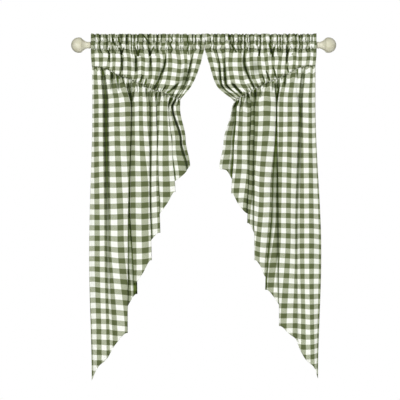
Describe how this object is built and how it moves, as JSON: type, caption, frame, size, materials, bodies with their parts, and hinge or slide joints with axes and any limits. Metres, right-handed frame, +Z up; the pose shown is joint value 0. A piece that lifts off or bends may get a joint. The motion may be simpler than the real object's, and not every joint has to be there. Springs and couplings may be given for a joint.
{
  "type": "gathered swag curtain pair on a rod",
  "caption": "Pair of gingham swag curtains hung on a round rod with ball finials: ruffled headings, gathered yokes, and slanted skirts that cascade to long outer tails.",
  "frame": {"origin": "on the rod's axis, half way along it", "axes": "+X to the right as seen from the room, +Y away from the room towards the window, +Z up"},
  "size_m": [1.2242, 0.071, 1.5996],
  "materials": {
    "gingham_cloth": "plain-woven sage green and white gingham, matt",
    "cream_paint": "turned wood, painted cream, satin"
  },
  "bodies": {
    "root": {"rod": "cream_paint", "finial_left": "cream_paint", "finial_right": "cream_paint", "yoke_left": "gingham_cloth", "yoke_right": "gingham_cloth", "skirt_left": "gingham_cloth", "skirt_right": "gingham_cloth"}
  },
  "joints": []
}
